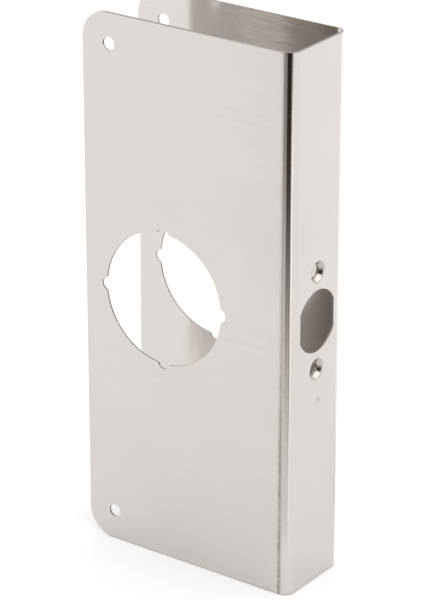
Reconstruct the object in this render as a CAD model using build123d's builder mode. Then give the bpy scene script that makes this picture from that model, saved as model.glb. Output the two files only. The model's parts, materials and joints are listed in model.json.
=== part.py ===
from build123d import *
import os

# Door reinforcer: one stainless sheet folded into a channel that wraps a door's edge round its lock.
# Millimetres. The origin is on the door's mid-plane, at the centre of the lock bore. +X points out
# of the door's edge, -Y out of its front face, +Z up.

# Door and lock that the sheet is made for
door_thickness = 34.9
backset = 60.3
bore_diameter = 56.0

# Sheet and folds
sheet = 0.8
plate_height = 228.6
panel_depth = 99.5
bend_inner_radius = 3.7
corner_radius = 12.0

# Relief notches round the lock bore
notch_count = 4
notch_radius = 2.8
notch_depth = 2.2
notch_shoulder_radius = 0.6

# Screw holes at the free corners of both panels
panel_screw_diameter = 5.4
panel_screw_inset = 12.8

# Latch hole in the edge face, a circle cut by two upright flats
latch_diameter = 26.0
latch_across_flats = 23.0
latch_corner_radius = 0.5

# Dimpled screw holes above and below the latch hole
latch_screw_spacing = 41.3
latch_screw_diameter = 5.8
dimple_diameter = 8.7
dimple_depth = 1.65
dimple_bend_radius = 1.0

# Sizes that follow from the ones above
outer_half_width = door_thickness / 2 + sheet
edge_face_x = backset + sheet
free_edge_x = edge_face_x - panel_depth
bend_outer_radius = bend_inner_radius + sheet
notch_ring_radius = bore_diameter / 2 + notch_depth - notch_radius
panel_screw_x = free_edge_x + panel_screw_inset
panel_screw_spacing = plate_height - 2 * panel_screw_inset
latch_screw_z = latch_screw_spacing / 2
dimple_radius = dimple_diameter / 2
formed_radius = dimple_radius + dimple_bend_radius
dimple_slope = dimple_depth / (dimple_radius - latch_screw_diameter / 2)
pierced_radius = latch_screw_diameter / 2 - sheet

with BuildPart() as reinforcer_plate:
    # The folded strip, drawn from above as its outer line and thickened inwards
    with BuildSketch():
        with BuildLine():
            FilletPolyline(
                (free_edge_x, -outer_half_width),
                (edge_face_x, -outer_half_width),
                (edge_face_x, outer_half_width),
                (free_edge_x, outer_half_width),
                radius=bend_outer_radius,
            )
            offset(amount=sheet, side=Side.LEFT)
        make_face()
    extrude(amount=plate_height / 2, both=True)

    # Rounded free corners of the two panels
    free_corners = reinforcer_plate.edges().filter_by(Axis.Y).group_by(Axis.X)[0]
    fillet(free_corners, corner_radius)

    # Lock bore with its relief notches, through both panels
    with BuildSketch(Plane.XZ) as bore_outline:
        Circle(bore_diameter / 2)
        with PolarLocations(notch_ring_radius, notch_count):
            Circle(notch_radius)
        fillet(bore_outline.vertices(), notch_shoulder_radius)
    extrude(amount=outer_half_width, both=True, mode=Mode.SUBTRACT)

    # Screw holes near the free corners, through both panels
    with BuildSketch(Plane.XZ):
        with Locations((panel_screw_x, 0)):
            with GridLocations(0, panel_screw_spacing, 1, 2):
                Circle(panel_screw_diameter / 2)
    extrude(amount=outer_half_width, both=True, mode=Mode.SUBTRACT)

    # Latch hole through the edge face
    edge_face = Plane.YZ.offset(edge_face_x)
    with BuildSketch(edge_face) as latch_outline:
        Circle(latch_diameter / 2)
        Rectangle(latch_across_flats, latch_diameter, mode=Mode.INTERSECT)
        fillet(latch_outline.vertices(), latch_corner_radius)
    extrude(amount=-sheet, mode=Mode.SUBTRACT)

    # Flat discs that the screw dimples are formed from
    with BuildSketch(edge_face):
        with GridLocations(0, latch_screw_spacing, 1, 2):
            Circle(formed_radius)
    extrude(amount=-sheet, mode=Mode.SUBTRACT)

    # Dimples: the same sheet pressed inwards round each latch screw, as a line turned about its axis
    for screw_z in (latch_screw_z, -latch_screw_z):
        dimple_plane = Plane(origin=(edge_face_x, 0, screw_z), x_dir=(0, 0, 1), z_dir=(0, 1, 0))
        with BuildSketch(dimple_plane):
            with BuildLine():
                FilletPolyline(
                    (formed_radius, 0),
                    (dimple_radius, 0),
                    (pierced_radius, -dimple_slope * (dimple_radius - pierced_radius)),
                    radius=dimple_bend_radius,
                )
                offset(amount=sheet, side=Side.LEFT)
            make_face()
        revolve(axis=Axis((0, 0, screw_z), (1, 0, 0)))

    # Latch screw holes pierced through the dimples
    with BuildSketch(edge_face):
        with GridLocations(0, latch_screw_spacing, 1, 2):
            Circle(latch_screw_diameter / 2)
    extrude(amount=-outer_half_width, mode=Mode.SUBTRACT)

os.makedirs("parts", exist_ok=True)
reinforcer_plate.part.label = "reinforcer_plate"
export_step(reinforcer_plate.part, "parts/reinforcer_plate.step")
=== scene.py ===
"""Looks of the door reinforcer: one brushed stainless sheet, punched flat and then folded round a door's
edge. Metres. +X points out of the door's edge, -Y out of its front face, +Z up."""
import json
import math

import bpy
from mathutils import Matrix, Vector
from mathutils.geometry import delaunay_2d_cdt


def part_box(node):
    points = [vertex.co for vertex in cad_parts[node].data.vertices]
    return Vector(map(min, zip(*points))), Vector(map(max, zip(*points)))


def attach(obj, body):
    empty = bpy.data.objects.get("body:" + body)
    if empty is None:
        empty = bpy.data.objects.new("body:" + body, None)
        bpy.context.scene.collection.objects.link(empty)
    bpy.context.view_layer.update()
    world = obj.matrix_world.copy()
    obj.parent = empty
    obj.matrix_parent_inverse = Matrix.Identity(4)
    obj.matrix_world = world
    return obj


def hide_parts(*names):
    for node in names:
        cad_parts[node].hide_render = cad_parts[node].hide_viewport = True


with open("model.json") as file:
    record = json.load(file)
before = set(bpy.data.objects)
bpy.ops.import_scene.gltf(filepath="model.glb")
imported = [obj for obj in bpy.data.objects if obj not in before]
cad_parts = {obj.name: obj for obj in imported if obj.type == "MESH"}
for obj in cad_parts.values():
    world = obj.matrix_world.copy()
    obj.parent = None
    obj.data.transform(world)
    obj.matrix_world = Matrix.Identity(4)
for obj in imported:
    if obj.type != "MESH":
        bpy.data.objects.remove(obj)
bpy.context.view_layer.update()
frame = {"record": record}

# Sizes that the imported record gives
mounts = {mount["name"]: mount for mount in frame["record"]["mounts"]}
low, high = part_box("reinforcer_plate")
MM = 0.001
SHEET = mounts["latch_hole"]["dims"]["length_mm"] * MM
BORE_RADIUS = mounts["lock_bore"]["dims"]["r_mm"] * MM
PANEL_SCREW_RADIUS = mounts["front_screws"]["dims"]["hole_r_mm"] * MM
PANEL_SCREW_RISE = mounts["front_screws"]["dims"]["spacing_y_mm"] * MM / 2
PANEL_SCREW_X = mounts["front_screws"]["pos_m"][0]
LATCH_RADIUS = mounts["latch_hole"]["dims"]["r_mm"] * MM
LATCH_SCREW_RADIUS = mounts["latch_screws"]["dims"]["hole_r_mm"] * MM
LATCH_SCREW_RISE = mounts["latch_screws"]["dims"]["spacing_y_mm"] * MM / 2

# Sizes of the folds, notches and dimples
BEND_RADIUS = 4.5 * MM
CORNER_RADIUS = 12 * MM
NOTCH_COUNT = 4
NOTCH_RADIUS = 2.8 * MM
NOTCH_DEPTH = 2.2 * MM
NOTCH_SHOULDER = 0.6 * MM
LATCH_HALF_FLAT = 11.5 * MM
LATCH_CORNER = 0.5 * MM
DIMPLE_RADIUS = 4.35 * MM
DIMPLE_DEPTH = 1.65 * MM
DIMPLE_BEND = 1.0 * MM
DIMPLE_OUTLINE = DIMPLE_RADIUS + DIMPLE_BEND / 2
EDGE_ROUNDING = 0.1 * MM

# The flat sheet: u runs round the outside from the front free edge to the rear one, v is up
QUARTER = math.pi / 2
HALF_HEIGHT = high.z
PANEL_FLAT = high.x - low.x - BEND_RADIUS
EDGE_FLAT = high.y - low.y - 2 * BEND_RADIUS
BEND_LENGTH = BEND_RADIUS * QUARTER
FOLD_U = PANEL_FLAT
EDGE_U = FOLD_U + BEND_LENGTH
REAR_FOLD_U = EDGE_U + EDGE_FLAT
REAR_U = REAR_FOLD_U + BEND_LENGTH
SHEET_WIDTH = REAR_U + PANEL_FLAT
MIDDLE_U = SHEET_WIDTH / 2

# The folds' axes lie at this x, and at plus or minus this y
FOLD_X = high.x - BEND_RADIUS
FOLD_Y = high.y - BEND_RADIUS

# How finely curves are divided
FOLD_STEPS = 20
BORE_STEPS = 40
HOLE_STEPS = 56
CORNER_STEPS = 20
SMALL_STEPS = 8
ROUNDING_STEPS = 3

# How near counts as the same place, or as on a line, in metres, and as one point of the triangulation,
# in millimetres
SAME_PLACE = 1e-7
ON_LINE = 1e-9
MERGED = 1e-5


def unfolded(x):
    """u of a point on the flat front panel at this x."""
    return x - low.x


def folded(u, v, depth):
    """Where a point of the flat sheet goes, with the ways that u and the outside then face."""
    radius = BEND_RADIUS - depth
    if u <= FOLD_U:
        return Vector((low.x + u, low.y + depth, v)), Vector((1, 0, 0)), Vector((0, -1, 0))
    if u < EDGE_U:
        turn = (u - FOLD_U) / BEND_RADIUS
        out = Vector((math.sin(turn), -math.cos(turn), 0))
        return Vector((FOLD_X, -FOLD_Y, v)) + out * radius, Vector((-out.y, out.x, 0)), out
    if u <= REAR_FOLD_U:
        return Vector((high.x - depth, -FOLD_Y + u - EDGE_U, v)), Vector((0, 1, 0)), Vector((1, 0, 0))
    if u < REAR_U:
        turn = (u - REAR_FOLD_U) / BEND_RADIUS
        out = Vector((math.cos(turn), math.sin(turn), 0))
        return Vector((FOLD_X, FOLD_Y, v)) + out * radius, Vector((-out.y, out.x, 0)), out
    return Vector((low.x + SHEET_WIDTH - u, high.y - depth, v)), Vector((-1, 0, 0)), Vector((0, 1, 0))


def arc(centre, radius, start, end, steps, outwards=1):
    """Points on an arc of the flat sheet, each with the way that faces out of the metal."""
    found = []
    for step in range(steps + 1):
        turn = start + (end - start) * step / steps
        way = (math.cos(turn), math.sin(turn))
        place = (centre[0] + radius * way[0], centre[1] + radius * way[1])
        found.append((*place, way[0] * outwards, way[1] * outwards))
    return found


def closed(points):
    """The loop without points that repeat the one before."""
    kept = []
    for point in points:
        if not kept or math.dist(point[:2], kept[-1][:2]) > SAME_PLACE:
            kept.append(point)
    if math.dist(kept[0][:2], kept[-1][:2]) < SAME_PLACE:
        kept.pop()
    return kept


def outer_loop():
    """The sheet's own outline, anticlockwise, with a point at every line that the folds divide it by."""
    lines = [FOLD_U + BEND_LENGTH * step / FOLD_STEPS for step in range(FOLD_STEPS + 1)]
    lines += [REAR_FOLD_U + BEND_LENGTH * step / FOLD_STEPS for step in range(FOLD_STEPS + 1)]
    left, right = CORNER_RADIUS, SHEET_WIDTH - CORNER_RADIUS
    bottom, top = -HALF_HEIGHT + CORNER_RADIUS, HALF_HEIGHT - CORNER_RADIUS
    points = arc((left, bottom), CORNER_RADIUS, 2 * QUARTER, 3 * QUARTER, CORNER_STEPS)
    points += [(u, -HALF_HEIGHT, 0, -1) for u in lines]
    points += arc((right, bottom), CORNER_RADIUS, -QUARTER, 0, CORNER_STEPS)
    points += arc((right, top), CORNER_RADIUS, 0, QUARTER, CORNER_STEPS)
    points += [(u, HALF_HEIGHT, 0, 1) for u in reversed(lines)]
    points += arc((left, top), CORNER_RADIUS, QUARTER, 2 * QUARTER, CORNER_STEPS)
    return closed(points), lines


def round_loop(u, v, radius):
    """A round hole, clockwise as every hole is."""
    return closed(arc((u, v), radius, 0, 2 * math.pi, HOLE_STEPS, -1))[::-1]


def bore_loop(u):
    """The lock bore: a circle with its relief notches, their shoulders rounded."""
    notch_ring = BORE_RADIUS + NOTCH_DEPTH - NOTCH_RADIUS
    reach, notch_reach = BORE_RADIUS + NOTCH_SHOULDER, NOTCH_RADIUS + NOTCH_SHOULDER
    half = math.acos((reach**2 + notch_ring**2 - notch_reach**2) / (2 * reach * notch_ring))
    inner_angle = math.acos((reach**2 + notch_reach**2 - notch_ring**2) / (2 * reach * notch_reach))
    pitch = 2 * math.pi / NOTCH_COUNT
    points = []
    for notch in range(NOTCH_COUNT):
        axis = notch * pitch
        before = (u + reach * math.cos(axis - half), reach * math.sin(axis - half))
        after = (u + reach * math.cos(axis + half), reach * math.sin(axis + half))
        centre = (u + notch_ring * math.cos(axis), notch_ring * math.sin(axis))
        opening = math.atan2(before[1] - centre[1], before[0] - centre[0])
        closing = math.atan2(after[1] - centre[1], after[0] - centre[0])
        while closing < opening:
            closing += 2 * math.pi
        back = axis - half + math.pi
        points += arc(before, NOTCH_SHOULDER, back, back - inner_angle, SMALL_STEPS)
        points += arc(centre, NOTCH_RADIUS, opening, closing, 3 * SMALL_STEPS, -1)
        last = axis + half + math.pi
        points += arc(after, NOTCH_SHOULDER, last + inner_angle, last, SMALL_STEPS)
        points += arc((u, 0), BORE_RADIUS, axis + half, axis + pitch - half, BORE_STEPS, -1)
    return closed(points)[::-1]


def latch_loop():
    """The latch hole: a circle cut by two upright flats, its corners rounded."""
    reach = LATCH_RADIUS - LATCH_CORNER
    corner_u = LATCH_HALF_FLAT - LATCH_CORNER
    corner_v = math.sqrt(reach**2 - corner_u**2)
    turn = math.atan2(corner_v, corner_u)
    right, left = MIDDLE_U + corner_u, MIDDLE_U - corner_u
    points = arc((right, -corner_v), LATCH_CORNER, -turn, 0, SMALL_STEPS, -1)
    points += arc((right, corner_v), LATCH_CORNER, 0, turn, SMALL_STEPS, -1)
    points += arc((MIDDLE_U, 0), LATCH_RADIUS, turn, math.pi - turn, HOLE_STEPS, -1)
    points += arc((left, corner_v), LATCH_CORNER, math.pi - turn, math.pi, SMALL_STEPS, -1)
    points += arc((left, -corner_v), LATCH_CORNER, math.pi, math.pi + turn, SMALL_STEPS, -1)
    points += arc((MIDDLE_U, 0), LATCH_RADIUS, math.pi + turn, 2 * math.pi - turn, HOLE_STEPS, -1)
    return closed(points)[::-1]


def curve(centre, radius, start, end, steps):
    """Rows of a rim's section on an arc: how far out of the metal, how deep, and the way it faces in both."""
    rows = []
    for step in range(steps + 1):
        turn = start + (end - start) * step / steps
        way = (math.sin(turn), -math.cos(turn))
        rows.append((centre[0] + radius * way[0], centre[1] + radius * way[1], *way))
    return rows


def cut_section():
    """A cut edge, square to the sheet, with both of its rims rounded."""
    inset = EDGE_ROUNDING
    rows = curve((-inset, inset), inset, 0, QUARTER, ROUNDING_STEPS)
    rows += curve((-inset, SHEET - inset), inset, QUARTER, 2 * QUARTER, ROUNDING_STEPS)
    return rows


def dimple_section():
    """The sheet pressed inwards round a latch screw, as a section from its outer face to its inner one."""
    slope = math.atan2(DIMPLE_DEPTH, DIMPLE_RADIUS - LATCH_SCREW_RADIUS)
    start = DIMPLE_OUTLINE - (DIMPLE_RADIUS + DIMPLE_BEND * math.tan(slope / 2))
    inner_depth = DIMPLE_DEPTH + SHEET / math.cos(slope)
    inset = EDGE_ROUNDING
    pierced = DIMPLE_OUTLINE - LATCH_SCREW_RADIUS - inset
    outer_rim = (pierced, DIMPLE_DEPTH + inset * math.tan((QUARTER - slope) / 2))
    inner_rim = (pierced, inner_depth - inset * math.tan((QUARTER + slope) / 2))
    rows = curve((start, DIMPLE_BEND), DIMPLE_BEND, 0, slope, 2 * SMALL_STEPS)
    rows += curve(outer_rim, inset, slope, QUARTER, ROUNDING_STEPS)
    rows += curve(inner_rim, inset, QUARTER, math.pi + slope, ROUNDING_STEPS + 2)
    back = curve((start, DIMPLE_BEND), DIMPLE_BEND - SHEET, slope, 0, SMALL_STEPS)
    rows += [(out, deep, -way_out, -way_deep) for out, deep, way_out, way_deep in back]
    return rows


def inside(point, loop):
    """Whether a point of the flat sheet lies inside a loop."""
    within = False
    for (u0, v0, *_), (u1, v1, *_) in zip(loop, loop[1:] + loop[:1]):
        if (v0 > point[1]) != (v1 > point[1]):
            if point[0] < u0 + (u1 - u0) * (point[1] - v0) / (v1 - v0):
                within = not within
    return within


def flat_triangles(loops, lines):
    """Points and triangles of the flat sheet between its loops, divided along the lines of the folds.
    They are worked out in millimetres and returned in metres."""
    outline, *holes = loops
    points, edges = [], []
    for loop in loops:
        first = len(points)
        points += [Vector((u, v)) / MM for u, v, *_ in loop]
        edges += [(first + i, first + (i + 1) % len(loop)) for i in range(len(loop))]
    for u in lines:
        edges.append(tuple(i for i, point in enumerate(outline) if abs(point[0] - u) < ON_LINE))
    found, _, faces, came_from, _, _ = delaunay_2d_cdt(points, edges, [], 0, MERGED)
    kept = []
    for face in faces:
        middle = sum((found[i] for i in face), Vector((0, 0))) / 3 * MM
        if not any(inside(middle, loop) for loop in holes):
            kept.append(face)
    order = {origin: i for i, origins in enumerate(came_from) for origin in origins}
    return [point * MM for point in found], kept, order


# Kinds of face, in the order of the plate's materials
OUTER_SKIN, INNER_SKIN, CUT_RIM, PRESSED = range(4)


class SheetMesh:
    """Collects the folded sheet's vertices with their true normals, and its faces with their maps."""

    # On the map: each skin's start and width, where both begin and how high they are, and where the
    # rims begin, how far apart they lie and how much of that they fill
    SKIN_MAP = ((0.008, 0.484), (0.508, 0.484))
    SKIN_MAP_START = 0.008
    SKIN_MAP_HEIGHT = 0.93
    RIM_MAP_START = 0.95
    RIM_MAP_ROW = 0.006
    RIM_MAP_FILL = 0.8

    def __init__(self):
        self.places, self.normals = [], []
        self.faces, self.kinds, self.maps = [], [], []
        self.rims = 0

    def add(self, u, v, depth, u_way, v_way, depth_way):
        """A vertex that faces this way in the flat sheet. Returns its number."""
        place, along, out = folded(u, v, depth)
        normal = along * u_way + Vector((0, 0, v_way)) - out * depth_way
        self.places.append(place)
        self.normals.append(normal.normalized())
        return len(self.places) - 1

    def skin(self, points, faces, inner):
        """One face of the sheet. Returns its vertices in the order of the flat points."""
        depth, way = (SHEET, 1) if inner else (0, -1)
        made = [self.add(p.x, p.y, depth, 0, 0, way) for p in points]
        start, width = self.SKIN_MAP[inner]
        for face in faces:
            turned = face[::-1] if inner else face
            self.faces.append([made[i] for i in turned])
            self.kinds.append(INNER_SKIN if inner else OUTER_SKIN)
            spots = [(points[i].x / SHEET_WIDTH, points[i].y / HALF_HEIGHT / 2 + 0.5) for i in turned]
            self.maps.append([(start + width * s, self.SKIN_MAP_START + self.SKIN_MAP_HEIGHT * t)
                              for s, t in spots])
        return made

    def rim(self, loop, section, outer, inner, cut_row, formed):
        """The band that joins both skins along a loop, swept from a section. Its faces are of the formed
        kind, but for the row that is left as it was cut."""
        rings = [outer]
        for out, deep, way_out, way_deep in section[1:-1]:
            ring = []
            for u, v, way_u, way_v in loop:
                ring.append(self.add(u + way_u * out, v + way_v * out, deep,
                                     way_u * way_out, way_v * way_out, way_deep))
            rings.append(ring)
        rings.append(inner)
        top = self.RIM_MAP_START + self.RIM_MAP_ROW * self.rims
        step = self.RIM_MAP_ROW * self.RIM_MAP_FILL / len(rings)
        self.rims += 1
        for row, (near, far) in enumerate(zip(rings, rings[1:])):
            v0, v1 = top + row * step, top + (row + 1) * step
            for i in range(len(loop)):
                j = (i + 1) % len(loop)
                self.faces.append([near[i], far[i], far[j], near[j]])
                self.kinds.append(CUT_RIM if row == cut_row else formed)
                start, end = i / len(loop), (i + 1) / len(loop)
                self.maps.append([(start, v0), (start, v1), (end, v1), (end, v0)])

    def build(self, name):
        """The object, with its map and its own normals."""
        mesh = bpy.data.meshes.new(name)
        mesh.from_pydata(self.places, [], self.faces)
        chart = mesh.uv_layers.new(name="OFBake")
        corners = [spot for face in self.maps for spot in face]
        chart.data.foreach_set("uv", [value for spot in corners for value in spot])
        mesh.polygons.foreach_set("material_index", self.kinds)
        mesh.polygons.foreach_set("use_smooth", [True] * len(self.faces))
        mesh.validate()
        mesh.update()
        mesh.normals_split_custom_set_from_vertices(self.normals)
        piece = bpy.data.objects.new(name, mesh)
        bpy.context.scene.collection.objects.link(piece)
        return piece


def folded_sheet():
    """The whole plate: both skins and every rim between them."""
    outline, lines = outer_loop()
    bore_u = unfolded(0)
    screw_u = unfolded(PANEL_SCREW_X)
    cut_loops = [outline, latch_loop()]
    for u, screw in ((bore_u, screw_u), (SHEET_WIDTH - bore_u, SHEET_WIDTH - screw_u)):
        cut_loops.append(bore_loop(u))
        cut_loops += [round_loop(screw, side * PANEL_SCREW_RISE, PANEL_SCREW_RADIUS) for side in (1, -1)]
    dimple_loops = [round_loop(MIDDLE_U, side * LATCH_SCREW_RISE, DIMPLE_OUTLINE) for side in (1, -1)]
    cut, dimple = cut_section(), dimple_section()
    jobs = [(loop, cut, ROUNDING_STEPS, OUTER_SKIN) for loop in cut_loops]
    jobs += [(loop, dimple, None, PRESSED) for loop in dimple_loops]
    skin_loops = []
    for loop, section, *_ in jobs:
        start = section[0][0]
        skin_loops.append([(u + a * start, v + b * start, a, b) for u, v, a, b in loop])
    points, faces, order = flat_triangles(skin_loops, lines)
    sheet = SheetMesh()
    outer = sheet.skin(points, faces, inner=0)
    inner = sheet.skin(points, faces, inner=1)
    first = 0
    for loop, section, cut_row, formed in jobs:
        ring = [order[first + i] for i in range(len(loop))]
        sheet.rim(loop, section, [outer[i] for i in ring], [inner[i] for i in ring], cut_row, formed)
        first += len(loop)
    return sheet.build("folded_plate")


class Nodes:
    """A material's node tree, with short names for what the metal needs."""

    def __init__(self, name):
        self.material = bpy.data.materials.new(name)
        self.material.use_nodes = True
        self.tree = self.material.node_tree
        self.tree.nodes.clear()
        self.out = self.tree.nodes.new("ShaderNodeOutputMaterial")

    def feed(self, socket, value):
        """Gives a socket its value, or links it to another socket."""
        if isinstance(value, bpy.types.NodeSocket):
            self.tree.links.new(value, socket)
        else:
            socket.default_value = value

    def surface(self, shader):
        """Ends the tree in this shader."""
        self.feed(self.out.inputs["Surface"], shader.outputs[0])
        return self.material

    def node(self, kind, **inputs):
        made = self.tree.nodes.new(kind)
        for name, value in inputs.items():
            self.feed(made.inputs[name.replace("_", " ")], value)
        return made

    def calculate(self, kind, operation, first, second):
        """A Math or Vector Math node."""
        made = self.tree.nodes.new(kind)
        made.operation = operation
        self.feed(made.inputs[0], first)
        self.feed(made.inputs[1], second)
        return made.outputs

    def maths(self, operation, first, second=0.0):
        return self.calculate("ShaderNodeMath", operation, first, second)[0]

    def place(self):
        """A point's place in the object's own metres."""
        return self.tree.nodes.new("ShaderNodeTexCoord").outputs["Object"]

    def noise(self, stretch, detail=2.0, roughness=0.5):
        """Noise from 0 to 1 in the object's own metres, stretched by periods per metre in x, y and z."""
        scaled = self.calculate("ShaderNodeVectorMath", "MULTIPLY", self.place(), stretch)["Vector"]
        return self.node("ShaderNodeTexNoise", Vector=scaled, Scale=1.0, Detail=detail,
                         Roughness=roughness).outputs["Fac"]

    def spot(self, centre, radius, core):
        """1 round a small mark's centre, as far as its core's share of the radius, then fading to 0."""
        away = self.calculate("ShaderNodeVectorMath", "DISTANCE", self.place(), centre)["Value"]
        return self.span(away, 1, 0, core * radius, radius)

    def span(self, value, low_out, high_out, low_in, high_in):
        """A value carried from one span to another."""
        return self.node("ShaderNodeMapRange", Value=value, From_Min=low_in, From_Max=high_in,
                         To_Min=low_out, To_Max=high_out).outputs[0]

    def tint(self, factor, first, second):
        """A colour between two others."""
        made = self.tree.nodes.new("ShaderNodeMix")
        made.data_type = "RGBA"
        # A mix of colours uses sockets 0, 6 and 7 of a Mix node, and gives its third output
        for socket, value in ((0, factor), (6, first), (7, second)):
            self.feed(made.inputs[socket], value)
        return made.outputs[2]

    def metal(self, colour, gloss, **inputs):
        """Ends the tree in bare metal."""
        return self.surface(self.node("ShaderNodeBsdfPrincipled", Base_Color=colour, Metallic=1.0,
                                      Roughness=gloss, **inputs))


# Colours of each finish
STEEL_LIGHT = (0.745, 0.708, 0.680, 1)
STEEL_DARK = (0.700, 0.664, 0.636, 1)
INNER_LIGHT = (0.832, 0.796, 0.768, 1)
INNER_DARK = (0.632, 0.600, 0.572, 1)
PRESSED_LIGHT = (0.600, 0.568, 0.540, 1)
PRESSED_DARK = (0.520, 0.488, 0.460, 1)
SHEARED_LIGHT = (0.40, 0.372, 0.345, 1)
SHEARED_DARK = (0.22, 0.205, 0.19, 1)
# Scuffs, the smudge and the speck take this colour, and so does the painted shade along the edges and by the
# fold
MARK_AND_SHADE_COLOUR = (0.30, 0.268, 0.238, 1)

# Roughness of each finish, where it is darkest and lightest, and what burnishing adds in the folds
STEEL_GLOSS = (0.24, 0.20)
INNER_GLOSS = (0.16, 0.13)
PRESSED_GLOSS = (0.26, 0.18)
SHEARED_GLOSS = (0.5, 0.34)
BURNISHED = -0.06

# How much more sharply each face mirrors sideways, and the strength and height of the relief
STEEL_STRETCH = 0.6
INNER_STRETCH = 0.85
BRUSHED_RELIEF = {"Strength": 0.08, "Distance": 0.02 * MM}
SHEARED_RELIEF = {"Strength": 0.2, "Distance": 0.03 * MM}

# Noises, in periods per metre in x, y and z, and the part of their range that is used
GRAIN = (30, 30, 3600)
LONG_GRAIN = (7, 7, 1300)
INNER_GRAIN = (70, 70, 1500)
CLOUDS = (26, 26, 34)
SCUFF_TICKS = (60, 60, 230)
PRESSED_MARKS = (900, 900, 900)
SHEARED_MARKS = (1500, 1500, 1500)
USED = (0.3, 0.7)
INNER_USED = (0.35, 0.65)

# What each noise adds to the outer face
FINE_SHARE, LONG_SHARE = 0.7, 0.3
STREAK_SHARE, CLOUD_SHARE = 0.6, 0.4

# The inner streaks' strength at the free edges and deeper in, and the x where each is reached
INNER_STREAKS = (0.05, 1, -6 * MM, 28 * MM)

# The scuffed lines, whose width also paints shade on the flat where the sheet starts to curve into the fold:
# where, how wide, how far they wander, how they break up and how they fade upwards
SCUFF_LINE = FOLD_X + 0.1 * MM
SCUFF_AND_SHADE_HALF_WIDTH = 1.2 * MM
SCUFF_WANDER = 0.5 * MM
SCUFF_BREAKS = (0.6, 1, 0.35, 0.6)
SCUFF_FADE = (1, 0.45, low.z * 0.6, high.z * 0.2)

# Painted shade in a band along the top and bottom edges, where the shear rolled them: how wide and how strong
EDGE_SHADE_WIDTH = 0.6 * MM
EDGE_SHADE_STRENGTH = 0.7

# Two small marks: a smudge on the edge face and a speck on the front fold
SMUDGE = {"centre": (high.x, 1.5 * MM, -34.5 * MM), "radius": 1.8 * MM, "core": 0.3}
SMUDGED = 0.35
SPECK = {"centre": (FOLD_X + 0.6 * MM, low.y, -84 * MM), "radius": 0.6 * MM, "core": 0.3}


def fold_scuff_and_shade(made, place):
    """1 on the line where the folding tool bore on the panels, broken up along its length, and 0 elsewhere.
    Where it reaches onto the flat before the fold, it is painted shade of the sheet starting to curve."""
    ticks = made.noise(SCUFF_TICKS, roughness=0.7)
    wander = made.maths("MULTIPLY", made.maths("SUBTRACT", ticks, 0.5), SCUFF_WANDER)
    across = made.maths("SUBTRACT", made.maths("ADD", place["X"], wander), SCUFF_LINE)
    # Partly a real tool mark, partly painted shade where the flat starts to curve into the fold
    near = made.span(made.maths("ABSOLUTE", across), 1, 0, 0, SCUFF_AND_SHADE_HALF_WIDTH)
    broken = made.maths("MULTIPLY", made.span(ticks, *SCUFF_BREAKS), made.span(place["Z"], *SCUFF_FADE))
    return made.maths("MULTIPLY", near, broken)


def edge_shade(made, place):
    """Above 0 near the top and bottom edges, where the shear pulled the faces round, as a mask for painted
    shade.
    """
    # Painted shade: the steel is darkened towards the top and bottom edges
    height = made.maths("ABSOLUTE", place["Z"])
    return made.span(height, 0, EDGE_SHADE_STRENGTH, HALF_HEIGHT - EDGE_SHADE_WIDTH, HALF_HEIGHT - EDGE_ROUNDING)


def in_fold(made, place):
    """1 in the folds, which the tool has burnished, and 0 on the flats."""
    along = made.maths("SUBTRACT", place["X"], FOLD_X)
    across = made.maths("SUBTRACT", made.maths("ABSOLUTE", place["Y"]), FOLD_Y)
    return made.span(made.maths("MINIMUM", along, across), 0, 1, 0, BEND_RADIUS / 4)


def brushed(made, colour, grain, gloss, stretch):
    """Level brushing: each stroke mirrors the room more sharply sideways than up and down."""
    relief = made.node("ShaderNodeBump", Height=grain, **BRUSHED_RELIEF)
    upright = made.node("ShaderNodeCombineXYZ", X=0.0, Y=0.0, Z=1.0)
    return made.metal(colour, gloss, Anisotropic=stretch, Normal=relief.outputs[0],
                      Tangent=upright.outputs[0])


def outer_steel():
    """The sheet's outer face: fine grain that runs round the folds, faint clouds, scuffed fold lines that are
    partly painted shade, painted shade along the top and bottom edges, and two small marks."""
    made = Nodes("brushed_steel")
    place = made.node("ShaderNodeSeparateXYZ", Vector=made.place()).outputs
    fine = made.maths("MULTIPLY", made.noise(GRAIN), FINE_SHARE)
    long = made.maths("MULTIPLY", made.noise(LONG_GRAIN, detail=3, roughness=0.6), LONG_SHARE)
    streaks = made.maths("ADD", fine, long)
    clouds = made.maths("MULTIPLY", made.noise(CLOUDS, detail=3), CLOUD_SHARE)
    blend = made.maths("ADD", made.maths("MULTIPLY", streaks, STREAK_SHARE), clouds)
    plain = made.tint(made.span(blend, 0, 1, *USED), STEEL_DARK, STEEL_LIGHT)
    # Real marks and painted shade together: the scuffs, the smudge and the speck, and the shade along the
    # edges and the fold
    wear_and_shade = made.maths("MAXIMUM", fold_scuff_and_shade(made, place), edge_shade(made, place))
    smudge = made.maths("MULTIPLY", made.spot(**SMUDGE), SMUDGED)
    wear_and_shade = made.maths("MAXIMUM", wear_and_shade, made.maths("MAXIMUM", smudge, made.spot(**SPECK)))
    burnish = made.maths("MULTIPLY", in_fold(made, place), BURNISHED)
    gloss = made.maths("ADD", made.span(blend, *STEEL_GLOSS, *USED), burnish)
    return brushed(made, made.tint(wear_and_shade, plain, MARK_AND_SHADE_COLOUR), streaks, gloss, STEEL_STRETCH)


def inner_steel():
    """The sheet's inner face: coarser streaks, stronger away from the free edges."""
    made = Nodes("inner_steel")
    coarse = made.noise(INNER_GRAIN, detail=4, roughness=0.65)
    place = made.node("ShaderNodeSeparateXYZ", Vector=made.place()).outputs
    depth = made.span(place["X"], *INNER_STREAKS)
    streaks = made.maths("MULTIPLY", made.maths("SUBTRACT", coarse, 0.5), depth)
    streaks = made.maths("ADD", streaks, 0.5)
    colour = made.tint(made.span(streaks, 0, 1, *INNER_USED), INNER_DARK, INNER_LIGHT)
    gloss = made.span(streaks, *INNER_GLOSS, *INNER_USED)
    return brushed(made, colour, streaks, gloss, INNER_STRETCH)


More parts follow.
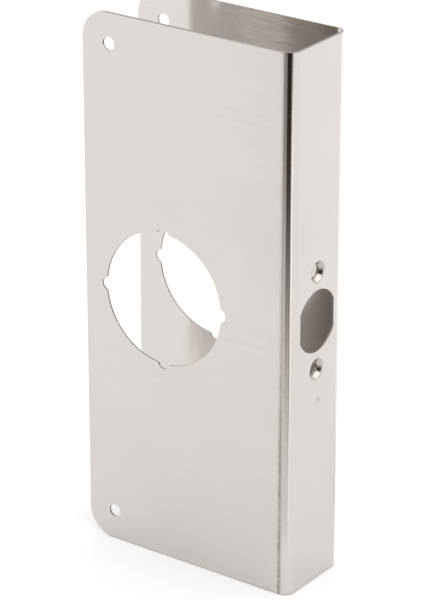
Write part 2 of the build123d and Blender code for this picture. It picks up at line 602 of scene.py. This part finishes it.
def pressed_steel():
    """The dimples, dulled and finely marked by the punch."""
    made = Nodes("pressed_steel")
    marks = made.noise(PRESSED_MARKS, detail=3, roughness=0.6)
    colour = made.tint(made.span(marks, 0, 1, *USED), PRESSED_DARK, PRESSED_LIGHT)
    return made.metal(colour, made.span(marks, *PRESSED_GLOSS, *USED))


def sheared_edge():
    """Cut rims: darker and duller than the faces, with fine marks from the shear and the punch."""
    made = Nodes("sheared_edge")
    marks = made.noise(SHEARED_MARKS, detail=3, roughness=0.6)
    colour = made.tint(made.span(marks, 0, 1, *USED), SHEARED_DARK, SHEARED_LIGHT)
    relief = made.node("ShaderNodeBump", Height=marks, **SHEARED_RELIEF)
    return made.metal(colour, made.span(marks, *SHEARED_GLOSS, *USED), Normal=relief.outputs[0])


# The floor: half its width, its shade, and its glow where the camera and where the metal sees it
FLOOR_HALF = 4.0
FLOOR_SHADE = 0.9
FLOOR_SEEN_GLOW = 0.25
FLOOR_MIRRORED_GLOW = 0.12

# Cards: in how many strips, how far above the floor, and how much green and blue their dark ends lose
CARD_STEPS = 12
CARD_RISE = 1 * MM
GREEN_LOST, BLUE_LOST = 0.42, 0.72

# The photograph's view: azimuth, elevation and distance of the lens from the point that it looks at
CAMERA_PLACE = (35.858, 23.383, 1.19471)
CAMERA_TARGET = Vector((0.01167, -0.00141, -0.00308))
LENS_MM = 180
SENSOR_MM = 36
CLIP_START = 0.01


def studio_white():
    """A pale matt floor that the camera and the metal both see as white."""
    made = Nodes("studio_floor")
    matt = made.node("ShaderNodeBsdfDiffuse", Color=(FLOOR_SHADE, FLOOR_SHADE, FLOOR_SHADE, 1))
    path = made.tree.nodes.new("ShaderNodeLightPath").outputs
    seen = made.maths("MULTIPLY", path["Is Camera Ray"], FLOOR_SEEN_GLOW)
    mirrored = made.maths("MULTIPLY", path["Is Glossy Ray"], FLOOR_MIRRORED_GLOW)
    light = made.node("ShaderNodeEmission", Strength=made.maths("ADD", seen, mirrored))
    both = made.tree.nodes.new("ShaderNodeAddShader")
    made.feed(both.inputs[0], matt.outputs[0])
    made.feed(both.inputs[1], light.outputs[0])
    return made.surface(both)


def reflected_shade(name):
    """As light or dark as the mesh's own shade says."""
    made = Nodes(name)
    shade = made.tree.nodes.new("ShaderNodeAttribute")
    shade.attribute_name = "shade"
    return made.surface(made.node("ShaderNodeEmission", Color=shade.outputs["Color"], Strength=1.0))


def towards(azimuth, elevation=0.0):
    """The way from the part to a place at this azimuth, 0 in front and turning to its right, in degrees."""
    turn, rise = math.radians(azimuth), math.radians(elevation)
    return Vector((math.sin(turn) * math.cos(rise), -math.cos(turn) * math.cos(rise), math.sin(rise)))


def stage_piece(name, places, faces, material):
    """A thing in the studio that isn't part of the object."""
    mesh = bpy.data.meshes.new(name)
    mesh.from_pydata(places, [], faces)
    mesh.materials.append(material)
    piece = bpy.data.objects.new(name, mesh)
    bpy.context.scene.collection.objects.link(piece)
    return piece


def studio_floor():
    corners = [(x * FLOOR_HALF, y * FLOOR_HALF, low.z) for x, y in ((-1, -1), (1, -1), (1, 1), (-1, 1))]
    stage_piece("floor", corners, [(0, 1, 2, 3)], studio_white())


def warmed(shade):
    """The colour of a shade: the darker, the warmer."""
    lost = (1 - min(shade, 1)) ** 3
    return [shade, shade * (1 - GREEN_LOST * lost), shade * (1 - BLUE_LOST * lost), 1]


def card(name, centre, left, right, *rows):
    """A card that only the metal sees, round a centre, from one azimuth to another. Each row gives its
    distance, its height above the floor, and its left and right shade."""
    places, faces, colours = [], [], []
    for distance, rise, left_shade, right_shade in rows:
        for step in range(CARD_STEPS + 1):
            share = step / CARD_STEPS
            place = centre + towards(left + (right - left) * share) * distance
            places.append((place.x, place.y, low.z + rise))
            colours += warmed(left_shade + (right_shade - left_shade) * share)
    for row in range(len(rows) - 1):
        for step in range(CARD_STEPS):
            first = row * (CARD_STEPS + 1) + step
            above = first + CARD_STEPS + 1
            faces.append((first, first + 1, above + 1, above))
    piece = stage_piece(name, places, faces, reflected_shade(name))
    piece.data.attributes.new("shade", "FLOAT_COLOR", "POINT").data.foreach_set("color", colours)
    piece.visible_camera = False
    piece.visible_diffuse = False
    piece.visible_shadow = False
    piece.visible_transmission = False


def floor_card(name, centre, left, right, *rows):
    """A card laid on the floor, with a left and a right shade at each distance."""
    card(name, centre, left, right, *((distance, CARD_RISE, *shades) for distance, *shades in rows))


def studio_world():
    """An even white room."""
    world = bpy.data.worlds.new("studio")
    world.use_nodes = True
    sky = world.node_tree.nodes["Background"]
    sky.inputs["Color"].default_value = (1, 1, 1, 1)
    sky.inputs["Strength"].default_value = 1.0
    bpy.context.scene.world = world


def photograph_camera():
    """A plain camera at the photograph's viewing angle."""
    azimuth, elevation, distance = CAMERA_PLACE
    way = towards(azimuth, elevation)
    data = bpy.data.cameras.new("camera")
    data.lens = LENS_MM
    data.sensor_width = SENSOR_MM
    data.clip_start = CLIP_START
    camera = bpy.data.objects.new("camera", data)
    camera.location = CAMERA_TARGET + way * distance
    camera.rotation_euler = (-way).to_track_quat("-Z", "Y").to_euler()
    bpy.context.scene.collection.objects.link(camera)
    bpy.context.scene.camera = camera


plate = folded_sheet()
for metal in (outer_steel(), inner_steel(), sheared_edge(), pressed_steel()):
    plate.data.materials.append(metal)
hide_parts("reinforcer_plate")
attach(plate, "root")

studio_floor()
front_fold = Vector((FOLD_X, -FOLD_Y, 0))
rear_fold = Vector((FOLD_X, FOLD_Y, 0))
free_edge = Vector((low.x, 0, 0))

# The fold's dark stripe, and the light beside it
floor_card("grey_card", front_fold, -30, 8, (0.05, 0.85, 0.85), (0.2, 0.8, 0.8), (0.34, 0.7, 0.64),
           (0.44, 0.56, 0.42), (0.48, 0.36, 0.22), (1.0, 0.3, 0.2))
floor_card("black_card", front_fold, 8, 47, (0.05, 0.85, 0.85), (0.10, 0.8, 0.8), (0.15, 0.76, 0.76),
           (0.2, 0.58, 0.7), (0.28, 0.38, 0.42), (0.33, 0.27, 0.24), (0.38, 0.15, 0.12), (0.43, 0.05, 0.03),
           (0.48, 0.018, 0.015), (0.53, 0.01, 0.01), (1.0, 0.01, 0.01))
floor_card("flag_card", front_fold, 47, 54, (0.05, 0.85, 0.85), (0.11, 0.75, 0.8), (0.15, 0.4, 0.7),
           (0.19, 0.14, 0.45), (0.225, 0.14, 0.45), (0.25, 0.35, 0.7), (0.28, 0.12, 0.4), (0.32, 0.08, 0.35),
           (0.38, 0.06, 0.5), (0.6, 0.02, 0.6))
floor_card("soft_card", front_fold, 54, 61, (0.05, 0.85, 1.1), (0.11, 0.8, 1.1), (0.15, 0.7, 1.15),
           (0.19, 0.45, 1.15), (0.25, 0.7, 1.15), (0.32, 0.35, 1.3), (0.38, 0.5, 1.6), (0.6, 0.6, 1.7))
floor_card("bright_card", front_fold, 61, 74,
           (0.04, 1.1, 1.0), (0.12, 1.15, 1.0), (0.2, 1.3, 1.05), (0.6, 1.7, 1.1))
floor_card("far_card", front_fold, 47, 66, (0.62, 0.01, 0.01), (1.0, 0.01, 0.01))
card("black_backdrop", front_fold, 8, 66, (1.0, CARD_RISE, 0.012, 0.012), (1.0, 0.8, 0.012, 0.012))
card("overhead_card", front_fold, 66, 160, (0.6, 0.40, 1.75, 1.75), (0.6, 1.2, 1.75, 1.75))

# What the rear panel mirrors, and what the channel's inside sees past its free edges
floor_card("rear_bright_card", rear_fold, 150, 188,
           (0.05, 0.75, 0.75), (0.16, 1.1, 1.1), (0.3, 1.3, 1.3), (1.5, 1.35, 1.35))
floor_card("rear_dark_card", free_edge, -172, -150, (0.05, 0.1, 0.3), (0.09, 0.05, 0.2), (0.2, 0.02, 0.15),
           (0.33, 0.1, 0.45), (0.42, 0.1, 0.42), (0.5, 0.3, 0.52), (1.5, 0.3, 0.52))
floor_card("rear_left_card", free_edge, -150, -145.5, (0.05, 0.3, 0.6), (0.09, 0.2, 2.2), (0.13, 0.2, 2.2),
           (0.2, 0.15, 0.5), (0.33, 0.45, 0.6), (0.42, 0.42, 0.57), (0.6, 0.52, 0.6), (1.5, 0.52, 0.6))
floor_card("rear_gap_card", free_edge, -145.5, -142.8, (0.05, 0.6, 0.5), (0.09, 2.2, 0.15),
           (0.13, 2.2, 0.03), (0.2, 0.5, 0.1), (0.33, 0.6, 0.6), (0.42, 0.57, 0.64), (0.6, 0.6, 0.68),
           (1.5, 0.6, 0.68))
floor_card("rear_card", free_edge, -142.8, -139.5, (0.05, 0.5, 1.3), (0.09, 0.15, 1.5), (0.13, 0.03, 1.6),
           (0.2, 0.1, 1.5), (0.33, 0.6, 1.2), (0.42, 0.64, 0.78), (0.6, 0.68, 0.78), (1.5, 0.68, 0.78))
floor_card("rear_soft_card", free_edge, -139.5, -120, (0.05, 1.3, 2.2), (0.13, 1.6, 2.9),
           (0.2, 1.5, 2.6), (0.33, 1.2, 2.2), (0.42, 0.78, 1.0), (0.6, 0.78, 0.9), (1.5, 0.78, 0.9))
studio_world()
photograph_camera()
bpy.context.scene.view_settings.view_transform = "Standard"

bpy.context.view_layer.update()
